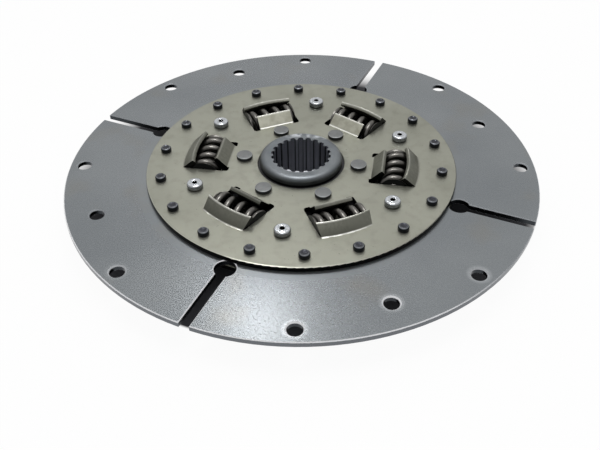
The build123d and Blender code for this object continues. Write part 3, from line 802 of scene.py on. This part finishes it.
# Painted shade: the sides of the head are painted dark.
inner_side_shade = rivet_steel.between(inner_level, 0.65, 0.35)
rivet_steel.colour(rivet_steel.blend(inner_side_shade, inner_colour, inner_side_shade_colour))
rivet_steel.rough(rivet_steel.cloud(0.0008, detail=2.0, seed=8.0), 0.00003)

inner_rivet_count = 6
inner_rivet_start = radians(15.0)
inner_rivet_circle = 0.0576
inner_rivet_top = cover_face_height + 0.0038
inner_rivet_outline = [(0, inner_rivet_top)] + arc(0.0072, inner_rivet_top - 0.0008, 0.0008, 90, 0)
inner_rivet_outline += arc(0.0076, cover_face_height + 0.0004, 0.0004, 0, -90, 3)
inner_rivet_outline += [(0.0050, cover_face_height), (0.0050, 0.0010)]
inner_rivets = made_plain(
    "set_inner_rivets",
    turned_mesh("inner_rivet", inner_rivet_outline),
    setting_out.tree,
    "disc",
    {
        "Material": rivet_steel.material,
        "Count": float(inner_rivet_count),
        "Step angle": tau / inner_rivet_count,
        "Start angle": inner_rivet_start,
        "Circle radius": inner_rivet_circle,
    },
)
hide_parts("inner_rivets")


# Stop pins: six thick turned pins that limit the twist. Bright steel, with a centre hole and fine rings from
# the turning tool on the head. The sides and the foot are painted darker as painted shade, and the centre
# hole near black as painted shade.
pin_dark, pin_light, pin_side_shade_colour = (0.50, 0.53, 0.56), (0.76, 0.78, 0.80), (0.22, 0.23, 0.25)
pin_foot_shade_colour, pin_hole_shade_colour = (0.05, 0.052, 0.056), (0.006, 0.006, 0.007)
bright_pin = Finish("bright_pin", roughness=0.22)
pin_colour = bright_pin.blend(bright_pin.cloud(0.003, detail=3.0, seed=9.0), pin_dark, pin_light)
pin_height = bright_pin.sum("SUBTRACT", bright_pin.height(), cover_face_height)
# Painted shade: the foot of the pin is painted near black.
pin_colour = bright_pin.blend(bright_pin.between(pin_height, 0.0022, 0.0010), pin_colour, pin_foot_shade_colour)
# Painted shade: the sides of the head are painted darker.
pin_side_shade = bright_pin.between(bright_pin.facing_up(), 0.55, 0.15, 0.0, 0.9)
pin_colour = bright_pin.blend(pin_side_shade, pin_colour, pin_side_shade_colour)
# Painted shade: the centre hole is painted near black.
pin_hole_shade = bright_pin.add("ShaderNodeAttribute", attribute_name="in_hole").outputs["Fac"]
bright_pin.colour(bright_pin.blend(pin_hole_shade, pin_colour, pin_hole_shade_colour))
bright_pin.rough(bright_pin.cloud(0.0009, detail=2.0, seed=10.0), 0.00001)

stop_pin_count = 6
stop_pin_start = radians(45.0)
stop_pin_circle = 0.1095
stop_pin_top = cover_face_height + 0.0059
stop_pin_outline = [(0, stop_pin_top - 0.0095), (0.0023, stop_pin_top - 0.0088)]
stop_pin_outline += [(0.0023, stop_pin_top - 0.0004), (0.0026, stop_pin_top - 0.0001)]
for ring_radius in (0.0034, 0.0046):
    stop_pin_outline += arc(ring_radius, stop_pin_top, 0.00014, 180, 360, 4)
stop_pin_outline += arc(0.0056, stop_pin_top - 0.0022, 0.0022, 90, 0, 8)
stop_pin_outline += [(0.0078, cover_face_height + 0.0031), (0.00772, cover_face_height + 0.0029)]
stop_pin_outline += [(0.0078, cover_face_height + 0.0027)]
stop_pin_outline += arc(0.0059, cover_face_height + 0.0019, 0.0019, 0, -90, 7)
stop_pin_outline += [(0.0055, cover_face_height), (0.0055, 0.0010)]
stop_pin_mesh = turned_mesh("stop_pin", stop_pin_outline, hole_points=3)
for number in range(stop_pin_count):
    turned_pin = made_plain(
        f"turned_pin_{number + 1}",
        stop_pin_mesh,
        setting_out.tree,
        "disc",
        {
            "Material": bright_pin.material,
            "Start angle": stop_pin_start + tau * number / stop_pin_count,
            "Circle radius": stop_pin_circle,
        },
    )
    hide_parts(f"stop_pin_{number + 1}")
